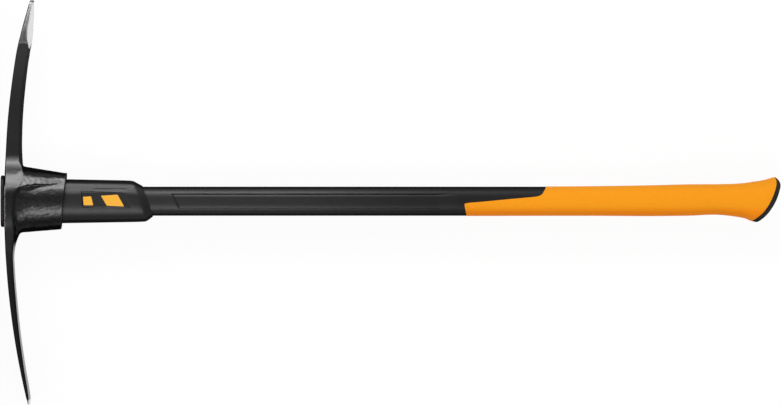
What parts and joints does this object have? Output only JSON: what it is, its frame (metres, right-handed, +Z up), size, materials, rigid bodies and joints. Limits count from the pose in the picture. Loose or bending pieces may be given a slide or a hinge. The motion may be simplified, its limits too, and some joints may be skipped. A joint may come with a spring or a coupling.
{
  "type": "pickaxe",
  "caption": "Pickaxe with a forged steel head, a point on one side and a narrow blade on the other, on a long moulded oval handle with a guard and a soft flared grip.",
  "frame": {"origin": "middle of the flat outer face of the eye cap, on the handle's axis", "axes": "the tool lies on its side: +X along the handle from the head to the butt, +Y along the pick arm towards the point, +Z up, across the tool"},
  "size_m": [0.9155, 0.475, 0.07],
  "materials": {
    "head_steel": "satin black paint on rough forged steel, ground bare at the point and the cutting edge",
    "black_nylon": "satin moulded black, fine grain",
    "black_rubber": "matte black",
    "orange_nylon": "smooth orange moulding",
    "orange_grip": "matte soft orange with a fine grain",
    "fibreglass": "pultruded, smooth",
    "bonding_liner": "cast, dull grey"
  },
  "bodies": {
    "root": {"pick_head": "head_steel", "eye_cap": "black_rubber", "eye_liner": "bonding_liner", "overstrike_guard": "black_nylon", "near_front_accent": "orange_nylon", "near_rear_accent": "orange_nylon", "far_front_accent": "orange_nylon", "far_rear_accent": "orange_nylon", "handle_shell": "black_nylon", "handle_core": "fibreglass", "front_core_plug": "black_rubber", "rear_core_plug": "black_rubber", "grip": "orange_grip", "butt_cap": "black_rubber"}
  },
  "joints": []
}
